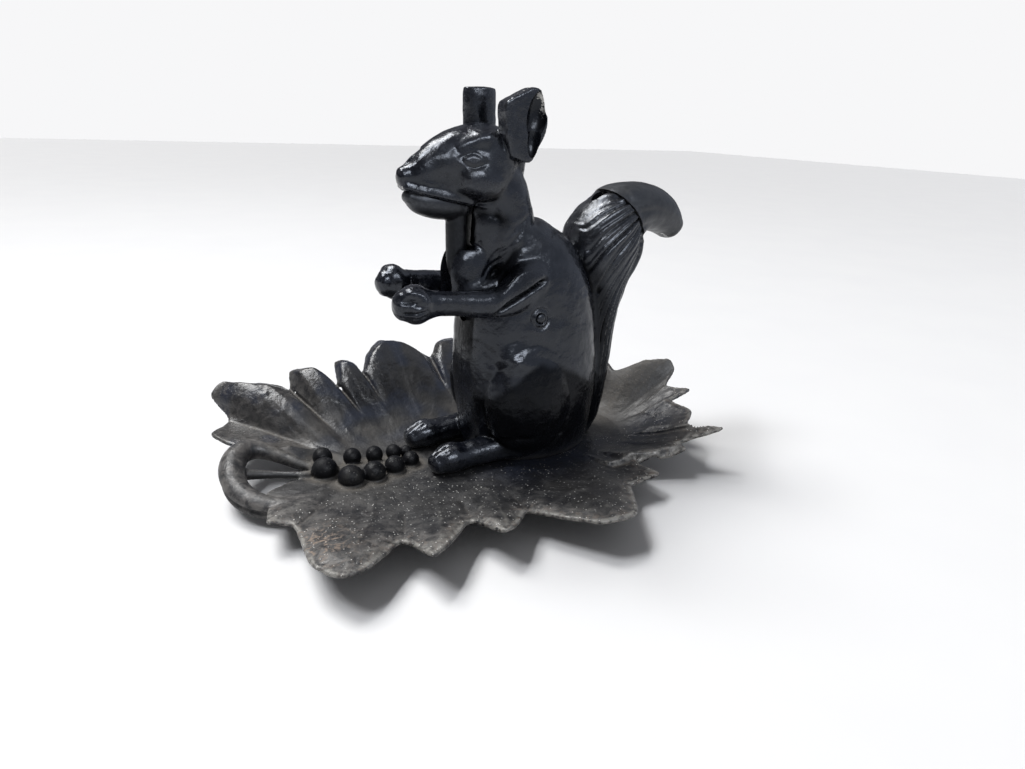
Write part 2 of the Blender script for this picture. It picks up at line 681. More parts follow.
def dark_steel(name):
    """Dull steel with dark patches and a little rust."""
    bright, rust, patch_shade, rough = (0.16, 0.155, 0.15), (0.11, 0.06, 0.035), 0.45, 0.42
    n = Nodes(name)
    patches = n.ramp(n.noise(size=2.5, detail=4, rough=0.6), low=0.4, high=0.65)
    colour = n.mix(patches, bright, tuple(c * patch_shade for c in bright))
    rusty = n.ramp(n.noise(size=1.1, detail=5, rough=0.7), low=0.58, high=0.68, end=0.7)
    n.put("Base Color", n.mix(rusty, colour, rust))
    uneven = n.ramp(n.noise(size=1.6, detail=3), low=0.35, high=0.65)
    n.put("Roughness", n.blend(uneven, under=rough - 0.1, over=rough + 0.18))
    n.put("Metallic", 0.85)
    broad = n.bump(n.noise(size=2.5, detail=3), mm=0.06)
    n.put("Normal", n.bump(n.noise(size=0.6, detail=3, rough=0.6), mm=0.04, below=broad))
    return n.material


ENAMEL = enamel("black_enamel")
ENAMEL_LEVER = enamel("black_enamel_lever", tint=(0.0085, 0.009, 0.0105), gloss=0.28, satin=0.05)
LEAF_PAINT = worn_leaf("worn_leaf_paint")
STEEL = dark_steel("dark_steel")


def dress(obj, material):
    obj.data.materials.clear()
    obj.data.materials.append(material)


def mount(obj, node, carrier):
    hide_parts(node)
    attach(obj, carrier)


# ---------------------------------------------------------------- the squirrel's sculpted detail
# X, Z lines that guide the tail's fur, each from the seam down, and the lines in each gap
FUR_GUIDES = [
    [(72, 151.5), (60, 150), (50, 145.5), (43, 138)],
    [(74, 147.5), (62, 143.5), (52, 138.5), (43, 131)],
    [(77, 139), (64, 130.5), (51, 119.5), (43.5, 107)],
    [(79, 131.5), (67, 119), (54, 103), (47, 84), (44.5, 58), (43, 34)],
    [(80, 124.5), (69, 112), (59.5, 97), (54, 80), (52, 52), (51, 24)],
    [(80, 116), (75, 105), (70.5, 90), (68, 72), (67, 48), (63, 22)]]
FUR_PARTS = (3, 4, 4, 4, 5)
FUR_DEPTH = 1.55

LIP = [(-60, 154.3), (-54, 153.2), (-47, 151.6), (-38, 149.7), (-30, 147.8), (-22, 145.6),
       (-16, 144.6)]
UPPER_ARM_CREASE = [(-21, 95.5), (-13.5, 99.8), (-4.5, 104), (3, 107.4), (10.5, 111)]
# strokes in side view: region, width, height (below 0 a groove), faded share of each end, X, Z line
SIDE_STROKES = [
    # brow and the hollow under it
    ("head", 2.6, 0.9, 0.2, [(-33, 170.5), (-26, 174.2), (-17, 176.8), (-9, 177.5)]),
    ("head", 2.2, -0.8, 0.2, [(-34, 168), (-27, 171.2), (-18, 171)]),
    # lip, and the groove over it
    ("lip", 0.85, 0.6, 0.05, LIP),
    ("over_lip", 1.3, -0.55, 0.1, [(x, z + 3.0) for x, z in LIP[:-1]]),
    # jaw angle
    ("outer", 2.8, -0.9, 0.3, [(-22, 144.2), (-16, 141.6), (-9, 141.2)]),
    ("outer", 3.0, -0.3, 0.3, [(-14, 141.2), (-8, 139.6)]),
    # shoulder and upper arm
    ("outer", 2.0, -1.5, 0.25, [(-20, 107.4), (-14, 111), (-9.6, 116), (-4.5, 123.4), (2, 128)]),
    ("arm", 1.3, -2.5, 0.12, UPPER_ARM_CREASE),
    ("arm", 3.4, 0.2, 0.3, [(-18, 99.4), (-10, 104), (2, 109.6)]),
    # belly folds
    ("belly", 2.6, -0.7, 0.3, [(-22, 79), (-17.5, 73), (-13.5, 66), (-14, 58), (-17, 50)]),
    ("outer", 2.0, -0.35, 0.4, [(-21, 70), (-16, 66.6), (-11, 61)]),
    ("all", 0.9, 0.4, 0.3, [(-27, 84), (-27.5, 76), (-26, 68)]),
    # haunch's upper edge, and the foot's behind the toes
    ("outer", 2.2, -0.55, 0.2, [(-12.5, 62), (-9, 70.5), (-2, 76.5), (8, 77.5), (18, 72)]),
    ("outer", 2.6, -0.6, 0.3, [(-14, 77), (-6, 80.5), (8, 80)]),
    ("foot", 1.8, -0.9, 0.25, [(-14, 25.5), (-5, 27.4), (6, 26.4)])]
# lumps (or dents, below 0) on both sides: centre with |Y|, radii, height
LUMPS = [
    ((-38, 11.5, 156.5), (8, 8, 5.5), -1.5), ((-20, 17, 157), (12, 7, 7.5), 0.5),   # cheek
    ((-19, 13, 176), (8, 7, 5), 1.5), ((-34, 8, 171), (7, 6, 3.5), -0.6),           # brow, bridge
    ((-55.5, 0, 162.5), (4.5, 6, 3.5), 0.9),                                        # nose
    ((-57.6, 3.4, 159.6), (1.3, 1.5, 1.0), -0.35),                                  # nostril
    ((-7, 17, 111.5), (7, 8, 5), -1.2),                                             # shoulder
    ((-5.5, 28, 69.5), (10, 9, 6.5), 2.9), ((-31, 17, 24), (4.5, 9, 4), -0.9)]      # haunch, foot
TOE_LUMPS = [((-46.5, y, 20.5), (4, 2, 4), 0.8) for y in (14.6, 19.2)]
FIST_LUMPS = [
    ((-64.5, 30, 106.6), (5.5, 4.8, 1.7), -1.7), ((-60, 30, 104.6), (3.2, 4.8, 1.5), -1.0),
    ((-68, 24, 107.5), (3, 4, 2.2), -0.8), ((-56.6, 29.5, 105.5), (2.8, 4, 4), 0.9),
    ((-64, 27, 111), (4.5, 4.5, 2.2), 0.7)]
# width, height, faded share, line of X, |Y|, Z
FIST_STROKES = [
    (0.7, -0.75, 0.1, [(-70, 22, 102.4 + drop), (-66, 28, 101 + drop), (-60.5, 31, 101 + drop),
                       (-56.5, 30.6, 102.4 + drop)]) for drop in (0.0, -2.7)]
FIST_STROKES.append((1.1, 0.5, 0.15, [(-67, 27, 109.4), (-62, 29, 110.4), (-57, 29, 108.6)]))
CUFF_X = -53.2


def stroke(points, line, width, height, fade=0.0):
    distance, along = to_line(points, line)
    rise = height * bell(distance, width)
    if fade:
        rise *= np.clip(np.minimum(along, 1 - along) / fade, 0, 1) ** 0.7
    return rise


def lumps(points, table):
    total = np.zeros(len(points))
    for centre, radii, height in table:
        squared = (((points - np.array(centre)) / np.array(radii)) ** 2).sum(1)
        total += height * np.exp(-squared * 1.6)
    return total


def fur_lines():
    """The tail's fur lines in side view, blended from guide to guide with a slight wave."""
    dense = []
    for guide in FUR_GUIDES:
        path = rounded(guide, 6)
        lengths = np.linalg.norm(np.diff(path, axis=0), axis=1)
        arc = np.concatenate([[0], np.cumsum(lengths)])
        at = np.linspace(0, arc[-1], 24)
        dense.append(np.c_[np.interp(at, arc, path[:, 0]), np.interp(at, arc, path[:, 1])])
    lines = []
    for i, (upper, lower) in enumerate(zip(dense, dense[1:])):
        for k in range(FUR_PARTS[i]):
            share = k / FUR_PARTS[i]
            wave = 0.5 * np.sin(np.linspace(0, 5, 24) + 2.1 * (i * 3 + k))
            lines.append((1 - share) * upper + share * lower + np.c_[wave * 0.5, wave])
    return lines + [dense[-1]]


def fur(side_view):
    """Height of the tail's fur grooves, below 0, from each point's X, Z."""
    height = np.zeros(len(side_view))
    near = (side_view[:, 0] > 36) & (side_view[:, 1] > 14)
    for k, line in enumerate(fur_lines()):
        distance, along = to_line(side_view[near], line)
        width = 1.0 + 0.2 * math.sin(k * 1.7)
        strength = (1.15 - 0.55 * along) * (0.8 + 0.25 * math.sin(k * 2.9)) * step01(1.0, 0.93, along)
        height[near] -= FUR_DEPTH * strength * bell(distance, width)
    return np.maximum(height, -1.5 * FUR_DEPTH)


def back_of(z):
    """X of the torso's back at this height."""
    return np.interp(z, [row[1] for row in TORSO], [row[0] + row[2] for row in TORSO])


def ease_seams(obj):
    """Relaxes the places where the head's, the neck's and the arms' forms meet."""
    x, y, z = points_of(obj).T
    side = np.abs(y)
    head = (step01(-52, -46, x) * step01(2, -6, x) * step01(7, 10, side) * step01(178, 172, z)
            * step01(147, 151, z))
    chest = (0.8 * step01(-34, -28, x) * step01(14, 6, x) * step01(4, 7, side)
             * step01(94, 100, z) * step01(134, 126, z))
    soften_where(obj, np.clip(head + chest, 0, 1), times=30, levels=5)


def eye_relief(x, z):
    """An almond with an upper and a lower lid."""
    centre_x, centre_z, half_length, half_height = -26.2, 166.4, 5.2, 3.1
    tilt = math.radians(-8)
    dx, dz = x - centre_x, z - centre_z
    u = dx * math.cos(tilt) + dz * math.sin(tilt)
    v = -dx * math.sin(tilt) + dz * math.cos(tilt)
    taper = np.maximum(1 - 0.35 * np.abs(u) / half_length, 0.2)
    almond = np.sqrt((u / half_length) ** 2 + (v / (half_height * taper)) ** 2)
    return (0.45 * step01(1.05, 0.4, almond) - 0.34 * bell(almond - 1.12, 0.22)
            + 0.10 * bell(almond - 1.55, 0.40))


def fist_relief(x, z, folded, reach):
    """Curled hollow, finger lines and cuff of the arm with this reach."""
    height = lumps(folded, [(reached(centre, reach), *rest) for centre, *rest in FIST_LUMPS])
    for width, rise, fade, line in FIST_STROKES:
        height += stroke(folded, [reached(point, reach) for point in line], width, rise, fade)
    from_cuff = x - reached((CUFF_X,), reach)[0]
    cuff = -0.45 * bell(from_cuff - 1.5, 3.0) + 0.2 * bell(from_cuff + 3.6, 2.0)
    return height + cuff * np.where(x < -44, 1, 0) * step01(90, 94, z)


def sculpt_squirrel(obj):
    ease_seams(obj)
    points, normals = points_of(obj), normals_of(obj)
    x, y, z = points.T
    # the upper arms lie close along the flanks
    side = np.abs(y)
    arm = step01(-24, -10, x) * step01(30, 18, x) * step01(84, 92, z) * step01(126, 116, z)
    points[:, 1] = np.sign(y) * (side - np.maximum(side - 27.2, 0) * 0.62 * arm)
    side = np.abs(points[:, 1])
    folded = np.c_[x, side, z]
    side_view = points[:, [0, 2]]

    outer = step01(5, 9, side)
    head = step01(138, 142, z) * step01(4, -2, x)
    regions = {"all": 1.0, "outer": outer, "head": outer * head,
               "lip": step01(1, 4, side) * head, "over_lip": step01(3, 6, side) * head,
               "arm": step01(14, 20, side), "belly": step01(6, 10, side),
               "foot": step01(16, 20, side)}
    height = lumps(folded, LUMPS)
    for region, width, rise, fade, line in SIDE_STROKES:
        height += stroke(side_view, line, width, rise, fade) * regions[region]
    height += np.where((side > 9) & (head > 0), 1.0, 0.0) * eye_relief(x, z)
    # streaks of fur on the neck and chest
    streaked = step01(2, 6, side) * step01(14, 6, x)
    for k in range(9):
        a = k * 3.5
        bow = 1.2 * math.sin(1.7 * k)
        line = [(-20 + a * 0.50, 109.5 + a * 0.92), (-14 + a * 0.5 + bow, 116 + a * 0.80),
                (-6 + a * 0.42, 124 + a * 0.62)]
        height += stroke(side_view, line, width=0.85, height=-0.42, fade=0.25) * streaked
    # forearm crease
    crease = [(-29, 24, 105.8), (-22, 23, 107.5), (-16, 21, 110)]
    height += stroke(folded, crease, width=1.4, height=-0.9, fade=0.15)
    for reach, sign in ((1.0, -1), (RIGHT_REACH, 1)):
        on_side = np.where(points[:, 1] * sign > 0, 1.0, 0.0)
        height += on_side * fist_relief(x, z, folded, reach)
    # ring round the cross pin
    radius = np.hypot(x - PIVOT[0], z - PIVOT[1])
    height += np.where(side > 22, 1, 0) * (0.55 * bell(radius - 3.4, 0.7)
                                           - 0.7 * bell(radius - 5.0, 0.8))
    # toes
    foot = step01(-20, -30, x) * step01(27, 24, z)
    for toe in (12.2, 16.9, 21.6):
        line = [(-54, toe - 0.6, 11), (-51.5, toe - 0.3, 18.5), (-46, toe, 23),
                (-38.5, toe + 0.6, 25)]
        height += foot * stroke(folded, line, width=0.85, height=-1.25, fade=0.12)
    height += foot * lumps(folded, TOE_LUMPS)
    # tail: fur only where the tail stands clear of the back
    back = np.where(z < 126, back_of(z) * (1 - 0.06 * (side / 24) ** 2), 30)
    height += fur(side_view) * (step01(0.5, 4.0, x - back) * step01(14, 24, z))
    # casting unevenness
    height += 0.26 * clouds(points, 11, 1) + 0.13 * clouds(points, 4.2, 2)
    height += 0.05 * clouds(points, 1.8, 3)
    set_points(obj, points + normals * height[:, None])


# ---------------------------------------------------------------- paint masks of the iron


def iron_masks(obj, chip, deep, hollow):
    """chip bares metal, dust greys, deep blackens and ridge wears the enamel."""
    points = points_of(obj)
    x, _, z = points.T
    attribute(obj, "chip", chip)
    dust = 0.35 * step01(15, 11, z)
    dust += 0.16 * step01(0.2, 0.9, clouds(points, 8, 9)) * step01(125, 155, z)
    dust += 0.10 * step01(34, 42, x) * step01(116, 130, z)
    attribute(obj, "dust", np.clip(dust, 0, 1))
    attribute(obj, "deep", np.clip(deep, 0, 1))
    attribute(obj, "ridge", np.clip(step01(0.12, 0.5, -hollow), 0, 1))


def spot(points, centre, width):
    return bell(np.linalg.norm(points - centre, axis=1), width)


def body_chips(points):
    """Chips along the left ear's rim and at the front of the mouth."""
    rear_rim = [(4.6, -17, 198.6), (8.8, -17, 194.4), (10.3, -17, 187), (10, -17, 180),
                (7.4, -17, 174.6)]
    top_rim = [(-9, -16, 194.6), (-3, -16, 197.2), (2, -16, 199.4)]
    ear = 0.72 * near_line(points, rear_rim, 2.3) + 0.42 * near_line(points, top_rim, 1.6)
    return np.maximum(ear, 0.50 * spot(points, (-56.5, -3, 153.2), 1.3))


def body_deep(obj, hollow):
    """Shade in hollows, in the lever's slot, under the haunch, beside the tail and in creases."""
    points = points_of(obj)
    x, y, z = points.T
    side = np.abs(y)
    inward = step01(0.55, 0.25, normals_of(obj)[:, 1] * np.sign(y))
    slot = (step01(11.5, 10.0, side) * inward * step01(-27, -25, x) * step01(60, 80, z)
            * step01(150, 145, z) * step01(5, 0, x))
    # the flank turns in under the haunch's edge, of these X and Z
    edge = np.interp(x, [-24, -12, -6, 0, 6, 17, 27, 45], [46, 56, 61, 66, 68.5, 66, 61, 52])
    edge += 1.2 * clouds(points, 7, 14)
    under = (0.8 * step01(edge + 1.5, edge - 3.0, z) * step01(-21, -13, x + 0.5 * (z - 30))
             * step01(10, 14, side) * step01(12, 20, z))
    behind = x - back_of(z)
    beside = 0.7 * step01(13, 3, behind) * step01(-3, 0, behind) * step01(126, 112, z)
    view = points[:, [0, 2]]
    shoulder_line = [(-19, 106.5), (-12, 111), (-7, 117), (-2.5, 123.5)]
    jaw_line = [(-21, 142.4), (-15, 139.6), (-9, 138.6)]
    outer = step01(8, 11, side)
    crease = 0.55 * near_line(view, shoulder_line, 2.4) * outer
    crease += 0.6 * near_line(view, UPPER_ARM_CREASE, 1.3) * step01(14, 20, side)
    crease += 0.4 * bell(x + 4, 5.0) * bell(z - 112.5, 5.5) * outer
    crease += 0.7 * near_line(view, jaw_line, 3.2) * step01(6, 9, side)
    hollows = step01(0.1, 0.9, hollow) * np.where(z > 165, 0.45, 0.8)
    return hollows + slot + crease + np.maximum(under, beside)


# ---------------------------------------------------------------- the squirrel and the lever


def tail_form():
    return loft(TAIL, 72, 8, power=2.2)


def squirrel_forms():
    forms = [
        loft(TORSO, 96, 6, power=TORSO_POWER), loft(HEAD, 72, 6, power=2.2, low_power=2.8),
        tail_form(), ball(*BIB), loft(UPPER_LIP, 56, 6, power=2.3),
        loft(COLLAR, 48, 6, power=2.5), loft(THROAT, 48, 6, power=2.6),
        loft(ARM_LEFT, 40, 6, power=2.3), loft(ARM_RIGHT, 40, 6, power=2.3),
        *both_sides(loft(LEG_LEFT, 40, 6, power=2.2))]
    for mass in MASSES:
        forms += both_sides(ball(*mass))
    forms.append(slab(rounded(LEFT_EAR + LEFT_EAR[:1], 4)[:-1], -20.2, -11.5))
    forms.append(loft(RIGHT_EAR, 40, 5, domed=0.12))
    return forms


def core_forms():
    """The hollow inside the body."""
    torso = [row for row in TORSO if 12 < row[1] < 152]
    tail = [row for row in TAIL if 20 < row[1] < 140 and row[0] < 90]
    return [loft(torso, 40, 3, -WALL), loft(tail, 40, 3, -WALL),
            ball((-15, 0, 165), (20, 11.5, 11), 5)]


def lever_forms(grow=0.0):
    return [loft(JAW, 40, 5, grow), loft(POST, 32, 5, grow), loft(REAR_ARM, 32, 5, grow)]


def about_pin(verts, degrees):
    """Turned about the cross pin; positive angles lower the jaw."""
    a = math.radians(degrees)
    dx, dz = verts[:, 0] - PIVOT[0], verts[:, 2] - PIVOT[1]
    return np.c_[PIVOT[0] + dx * math.cos(a) - dz * math.sin(a), verts[:, 1],
                 PIVOT[1] + dx * math.sin(a) + dz * math.cos(a)]


def bite_height(x):
    (x0, z0), (x1, z1) = MOUTH_FRONT, MOUTH_BACK
    return z0 + (z1 - z0) / (x1 - x0) * (x - x0)


def over_bite(rise, y0=-30, y1=30):
    """A slab over the bite line, from this far above it."""
    left, right = MOUTH_FRONT[0] - 12, MOUTH_BACK[0]
    outline = [(left, bite_height(left) + rise), (right, bite_height(right) + rise),
               (right, 184), (left, 184)]
    return slab(outline, min(y0, y1), max(y0, y1))


def under_bite():
    """A slab under the bite line, in front of the throat and over the collar."""
    left, right = MOUTH_FRONT[0] - 12, -21.2
    outline = [(left, 124), (right, 124), (right, bite_height(right)), (left, bite_height(left))]
    return slab(outline, -30, 30)


def trim_to_ridge(obj, rise, half, shoulder_rise):
    """Cuts the jaw's top to a middle ridge with lower shoulders beside it."""
    cut(obj, over_bite(rise))
    for sign in (-1, 1):
        cut(obj, over_bite(shoulder_rise, sign * half, sign * 30))


def swing_room():
    """The space the lever sweeps, with clearance."""
    steps, over_swing, extra = 12, 1.2, 0.3
    forms = []
    for k in range(steps):
        turn = -over_swing + (OPEN_DEG + 2 * over_swing) * k / (steps - 1)
        forms += [(about_pin(verts, turn), faces) for verts, faces in lever_forms(CLEAR + extra)]
    forms.append(drum(PIN_AXIS, 11.5, 2 * LEVER_HALF + 1.4))
    room = melted("swing_room", forms, 1.0, 2)
    trim_to_ridge(room, rise=RIDGE_RISE + 0.8, half=RIDGE_HALF + 0.8, shoulder_rise=-0.05)
    return room


def beyond_seam(radius):
    """The sector outside this radius from the pin, towards the tail's tip."""
    outer, half = 150.0, 40.0
    angles = np.radians(np.linspace(*SEAM_ANGLES, 90))
    arcs = [[(PIVOT[0] + r * math.cos(t), PIVOT[1] + r * math.sin(t)) for t in part]
            for r, part in ((radius, angles), (outer, angles[::-4]))]
    return slab(arcs[0] + arcs[1], -half, half)


def build_squirrel():
    skin = melted("squirrel", squirrel_forms(), IRON_CELL, SKIN_SMOOTH)
    sculpt_squirrel(skin)
    for hollow in EAR_HOLLOWS:
        cut(skin, ball(*hollow))
    cut(skin, melted("core", core_forms(), 1.6, 2))
    # bosses for the pin and the screws
    join(skin, drum(PIN_AXIS, 7.5, 50))
    for x, z, y in BODY_SCREWS.values():
        join(skin, drum((x, 0, z), BOSS_R, 2 * y - 4))
    for x, y in TRAY_SCREWS.values():
        join(skin, drum((x, y, 20), BOSS_R, 16, "Z"))
    cut(skin, swing_room())
    cut(skin, beyond_seam(SEAM_R))
    cut(skin, under_bite())
    cut(skin, block((-90, -60, -20), (110, 60, SEAT_Z)))
    # holes for the pin, and for the screws with their heads' recesses on the +Y side
    cut(skin, drum(PIN_AXIS, PIN_HOLE_R, 90))
    for x, z, y in BODY_SCREWS.values():
        cut(skin, drum((x, (y - 6) / 2, z), SCREW_HOLE_R, y + 18))
        cut(skin, drum((x, y + 6.8, z), HEAD_R + 0.5, 20))
    for x, y in TRAY_SCREWS.values():
        cut(skin, drum((x, y, 13), SCREW_HOLE_R, 22, "Z"))
    for name, node, low, high in (("squirrel_left", "body_left_half", -70, -SPLIT),
                                  ("squirrel_right", "body_right_half", SPLIT, 70)):
        piece = bpy.data.objects.new(name, skin.data.copy())
        bpy.context.scene.collection.objects.link(piece)
        boolean(piece, block((-120, low, -20), (160, high, 240)), "INTERSECT")
        keep_biggest(piece)
        smooth_shaded(piece, 38)
        hollow = hollowness(piece, 30)
        iron_masks(piece, body_chips(points_of(piece)), body_deep(piece, hollow), hollow)
        dress(piece, ENAMEL)
        mount(piece, node, "stand")
    bpy.data.objects.remove(skin, do_unlink=True)


# X, Z lines of the grooves on the tail's tip
TIP_GROOVES = [[(70, 146.5), (84, 147), (98, 143)], [(76, 140.5), (88, 141.6), (101, 137)],
               [(78, 133), (90, 135), (100, 131.5)], [(80, 127), (92, 129.6)]]


def tail_tip():
    tip = melted("tip", [tail_form()], IRON_CELL, SKIN_SMOOTH)
    points, normals = points_of(tip), normals_of(tip)
    height = 0.2 * clouds(points, 11, 1) + 0.1 * clouds(points, 4.2, 2)
    for line in TIP_GROOVES:
        distance, along = to_line(points[:, [0, 2]], line)
        height -= 0.8 * (1 - along) * bell(distance, 1.8)
    set_points(tip, points + normals * height[:, None])
    boolean(tip, beyond_seam(SEAM_R + TIP_GAP), "INTERSECT")
    return tip


def build_lever():
    iron = melted("lever", lever_forms() + [drum(PIN_AXIS, 9.6, 2 * LEVER_HALF)], IRON_CELL, 3)
    trim_to_ridge(iron, rise=RIDGE_RISE, half=RIDGE_HALF, shoulder_rise=-BITE_GAP)
    join(iron, tail_tip())
    cut(iron, drum(PIN_AXIS, PIN_HOLE_R, 40))
    keep_biggest(iron)
    smooth_shaded(iron, 38)
    points = points_of(iron)
    x, y, z = points.T
    tip_edge = [(104, -5, 126), (112, -3, 122), (117, 0, 127)]
    chip = 0.6 * near_line(points, tip_edge, 2.2) + 0.6 * spot(points, (-57, -3, 151), 1.8)
    # the arm under the tail's tip, and the post under the jaw
    deep = step01(40, 60, x) * step01(12.5, 9, np.abs(y)) * step01(130, 118, z)
    deep += 0.55 * step01(-18, -22, x) * step01(146, 140, z)
    iron_masks(iron, chip, deep, hollowness(iron, 30))
    dress(iron, ENAMEL_LEVER)
    mount(iron, "jaw_lever", "lever")


# ---------------------------------------------------------------- pins, screws and washers


def spun(profile, sides):
    return [(r * math.cos(2 * math.pi * k / sides), r * math.sin(2 * math.pi * k / sides), h)
            for r, h in profile for k in range(sides)]


def turned(name, profile, axis_at, direction, slot_turn=None):
    """A turned piece: profile of (radius, height) along direction from axis_at.

    slot_turn is the angle of a slot across the head, in degrees.
    """
    sides, rows = 64, len(profile)
    verts = spun([(max(r, 0.001), h) for r, h in profile], sides)
    faces = bands(rows, sides) + [face[::-1] for face in end_faces(rows, sides)]
    obj = mesh_object(name, verts, faces)
    if slot_turn is not None:
        low = min(h for _, h in profile)
        v, slot_faces = block((-HEAD_R - 1, -0.55, low - 1), (HEAD_R + 1, 0.55, low + 1.1))
        c, s = math.cos(math.radians(slot_turn)), math.sin(math.radians(slot_turn))
        cut(obj, (np.c_[v[:, 0] * c - v[:, 1] * s, v[:, 0] * s + v[:, 1] * c, v[:, 2]], slot_faces))
    turn = Vector((0, 0, 1)).rotation_difference(Vector(direction)).to_matrix().to_4x4()
    obj.data.transform(Matrix.Translation(Vector(axis_at) * MM) @ turn)
    smooth_shaded(obj, 30)
    return obj


def screw_profile(length):
    """Radius and height: point, threads, shank, and a domed head below 0."""
    profile = [(0.0, length), (SCREW_R * 0.55, length), (SCREW_R * 0.8, length - 0.5)]
    height = length - 1.2
    while height > 5.0:
        profile += [(SCREW_R, height), (SCREW_R * 0.84, height - 0.35)]
        height -= 0.7
    profile += [(SCREW_R, 4.6), (SCREW_R, 0.3), (SCREW_R + 0.25, 0.0), (HEAD_R - 0.25, 0.0),
                (HEAD_R, -0.25)]
    for k in range(9):
        a = k / 8 * math.pi / 2
        profile.append((HEAD_R * math.cos(a) * 0.98, -HEAD_H * 0.5 - HEAD_H * 0.5 * math.sin(a)))
    return profile


def build_washer(name, x, y):
    half, bevel, sides = WASHER_T / 2, (0.3, 0.2), 72
    rim = WASHER_R - bevel[0]
    ring = [(SCREW_HOLE_R, half), (rim, half), (WASHER_R, half - bevel[1]),
            (WASHER_R, -half + bevel[1]), (rim, -half), (SCREW_HOLE_R, -half)]
    centre = np.array((x, y, FLOOR_Z - DISH_T - 0.3 - half))
    faces = bands(len(ring), sides, closed=True)
    washer = mesh_object(name + "_fine", np.array(spun(ring, sides)) + centre, faces)
    smooth_shaded(washer, 30)
    dress(washer, STEEL)
    mount(washer, name, "stand")


def build_screw(name, length, at, direction, slot_turn):
    screw = turned(name + "_fine", screw_profile(length), at, direction, slot_turn)
    dress(screw, STEEL)
    mount(screw, name, "stand")


def build_fasteners():
    dome = [(0.0, 0.9), (0.8, 0.86), (1.5, 0.7), (2.1, 0.4), (PIN_R, 0.0)]     # radius, rise
    domed = [(r, PIN_HALF + rise) for r, rise in dome]
    shank = [(PIN_R, PIN_HALF - 0.4), (PIN_R, -PIN_HALF + 0.4)]
    pin = turned("pin", domed + shank + [(r, -h) for r, h in domed[::-1]], PIN_AXIS, (0, 1, 0))
    dress(pin, ENAMEL)
    mount(pin, "pivot_pin", "stand")
    for k, (name, (x, z, y)) in enumerate(BODY_SCREWS.items()):
        under = y - 2.9
        build_screw(name, under + 10, (x, under, z), (0, -1, 0), 25 + 40 * k)
    for k, (name, (x, y)) in enumerate(TRAY_SCREWS.items()):
        under = FLOOR_Z - DISH_T - 0.6 - WASHER_T
        build_screw(name, 22 - under, (x, y, under), (0, 0, 1), 15 + 50 * k)
        build_washer(name.replace("screw", "washer"), x, y)


# ---------------------------------------------------------------- the leaf dish
# X, Y, Z of the rim's corners, clockwise from the upper left seen from above
LEAF_EDGE = [
    (-138, 89, 30), (-131, 92, 36), (-121, 85, 36), (-112, 80, 37), (-102, 77, 35), (-96, 80, 31),
    (-94, 86, 38), (-84, 82, 41), (-77, 75, 38), (-71, 69, 34), (-68, 82, 42), (-60, 80, 43),
    (-54, 72, 38), (-48, 82, 44), (-36, 92, 49), (-23, 89, 47), (-12, 84, 42), (-5, 80, 39),
    (2, 88, 44), (16, 94, 44), (30, 86, 38), (37, 74, 32), (48, 82, 36), (62, 80, 36),
    (68, 66, 30), (80, 66, 33), (90, 54, 34), (88, 42, 30), (102, 36, 36), (100, 20, 33),
    (113, 8, 42), (124, -2, 45), (125, -7, 40), (115, -12, 32), (119, -28, 34), (107, -26, 28),
    (105, -45, 30), (94, -55, 27), (102, -73, 30), (82, -62, 22), (81, -67, 20), (56, -57, 15),
    (55, -76, 16), (36, -77, 15), (27, -88, 17), (13, -107, 20), (-6, -106, 20), (-20, -87, 17),
    (-27, -77, 15), (-40, -89, 18), (-48, -90, 19), (-54, -72, 15), (-72, -88, 18),
    (-82, -93, 19), (-87, -73, 15), (-105, -86, 17), (-118, -89, 18), (-126, -72, 16),
    (-124, -38, 13), (-134, -33, 15), (-129, -12, 11), (-127, 0, 11), (-104, 12, 9.5),
    (-104, 20, 10), (-118, 29, 16), (-136, 42, 20), (-143, 58, 21), (-132, 73, 21)]
# the corners that part one lobe from the next, and how far the lobe after each swells and overlaps
NOTCHES = [
    (5, 6.5, 2.6), (9, 5.5, 2.6), (12, 8.0, 2.4), (17, 5.5, 2.0), (21, 5.0, 1.6), (24, 4.5, 1.2),
    (27, 4.5, 1.4), (33, 3.0, 0.8), (37, 3.0, 0.8), (39, 2.0, 0.6), (43, 2.6, 0.0), (48, 2.0, 0.3),
    (51, 2.0, 0.3), (54, 3.0, 0.3), (58, 1.5, 0.6), (62, 1.5, 0.3), (67, 6.0, 1.8)]
# corners this far from the first one spring from a branch of the midrib: corner, root X, root Y
BRANCH_ROOTS = [(-8, -78, 0), (-6, -66, 0), (-5, -93, 29), (2, -93, 29), (5, -66, 0), (8, -52, 0)]
BRANCH_END_Y = 29
FLAT_LINE, FLAT_R = [(-46, 0), (50, 0)], 31         # the flat floor's middle line and radius
# X, Y, Z, radius
BERRIES = [
    (-98, 5.5, 13.6, 6.6), (-88.5, -8, 13.4, 6.6), (-76, -7.5, 13.2, 5.9), (-64, -4.8, 13, 5.4),
    (-53.5, -1.5, 12.6, 4.6), (-95.5, 18, 14.2, 5.4), (-82, 10, 15, 5.0), (-70.5, 8.2, 14.8, 4.8),
    (-60, 7.4, 14.4, 4.4), (-52.8, 7.4, 13.4, 3.3)]
STEM = [
    (-60, 1.5, 9, 3.5), (-86, 5, 10, 3.2), (-102, 14, 11, 2.8), (-116, 28, 15, 3.6),
    (-126, 34.5, 18, 5.2), (-135, 31.5, 18, 6), (-140.5, 20, 15, 6.4), (-140, 5, 11, 6.2),
    (-133, -8, 9, 5.8), (-120, -17, 8.4, 4.8), (-108, -22, 8.4, 3.8)]
STEM_VEIN = [(-92, 5, 11, 2), (-110, 11, 10.5, 2), (-123, 17, 11, 2.2), (-135, 20, 12.5, 3)]
FOLD = [(37, -37), (41.2, -52.3), (54.5, -54.8), (66.2, -60.5), (81.5, -64), (103, -57.5)]  # X, Y
